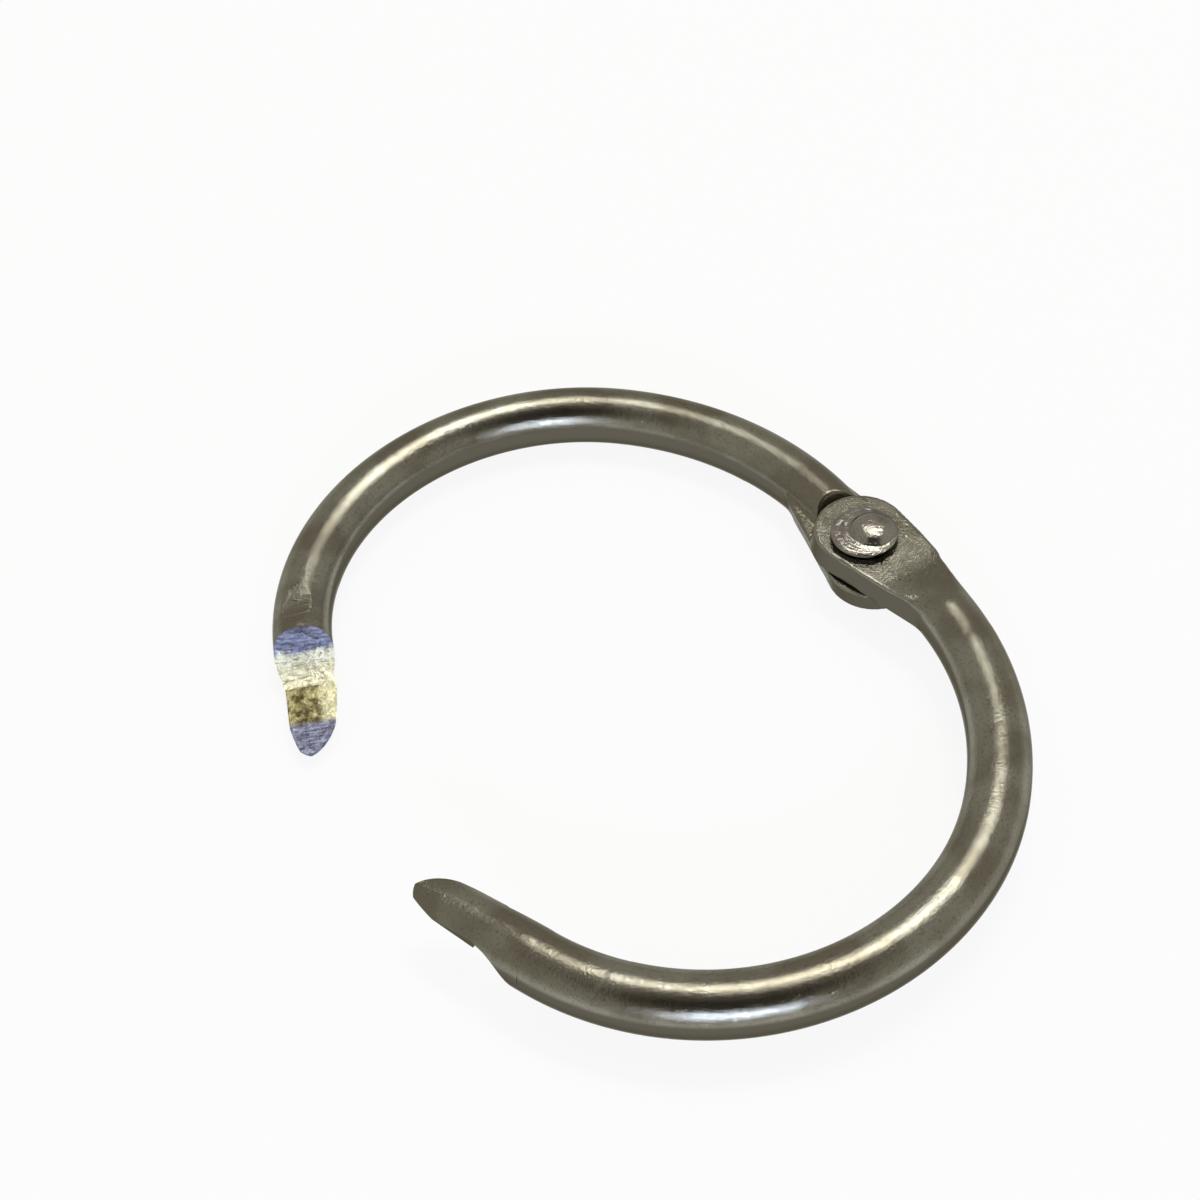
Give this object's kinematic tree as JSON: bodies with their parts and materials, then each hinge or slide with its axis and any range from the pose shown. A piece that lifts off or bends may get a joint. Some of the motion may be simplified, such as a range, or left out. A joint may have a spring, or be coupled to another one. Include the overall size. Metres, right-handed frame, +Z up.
{
  "type": "hinged binder ring",
  "caption": "Hinged wire ring that opens on a riveted hinge and closes with two hooked tongues, for holding punched sheets together.",
  "frame": {"origin": "on the rivet's axis, in the flat land of the lower rivet head on which the ring lies", "axes": "+Z up along the rivet's axis, +X from the lock towards the hinge, +Y towards the lower half"},
  "size_m": [0.0307, 0.0412, 0.004],
  "materials": {
    "plated_steel": "nickel plated steel wire, softly polished",
    "rivet_steel": "nickel plated, peened head"
  },
  "bodies": {
    "lower": {"lower_half": "plated_steel", "rivet": "rivet_steel"},
    "upper": {"upper_half": "plated_steel"}
  },
  "joints": [
    {"name": "hinge", "type": "hinge", "parent": "lower", "child": "upper", "pos_m": [0, 0, 0.00195], "axis": [0, 0, 1], "range_deg": [-33, 77]}
  ]
}
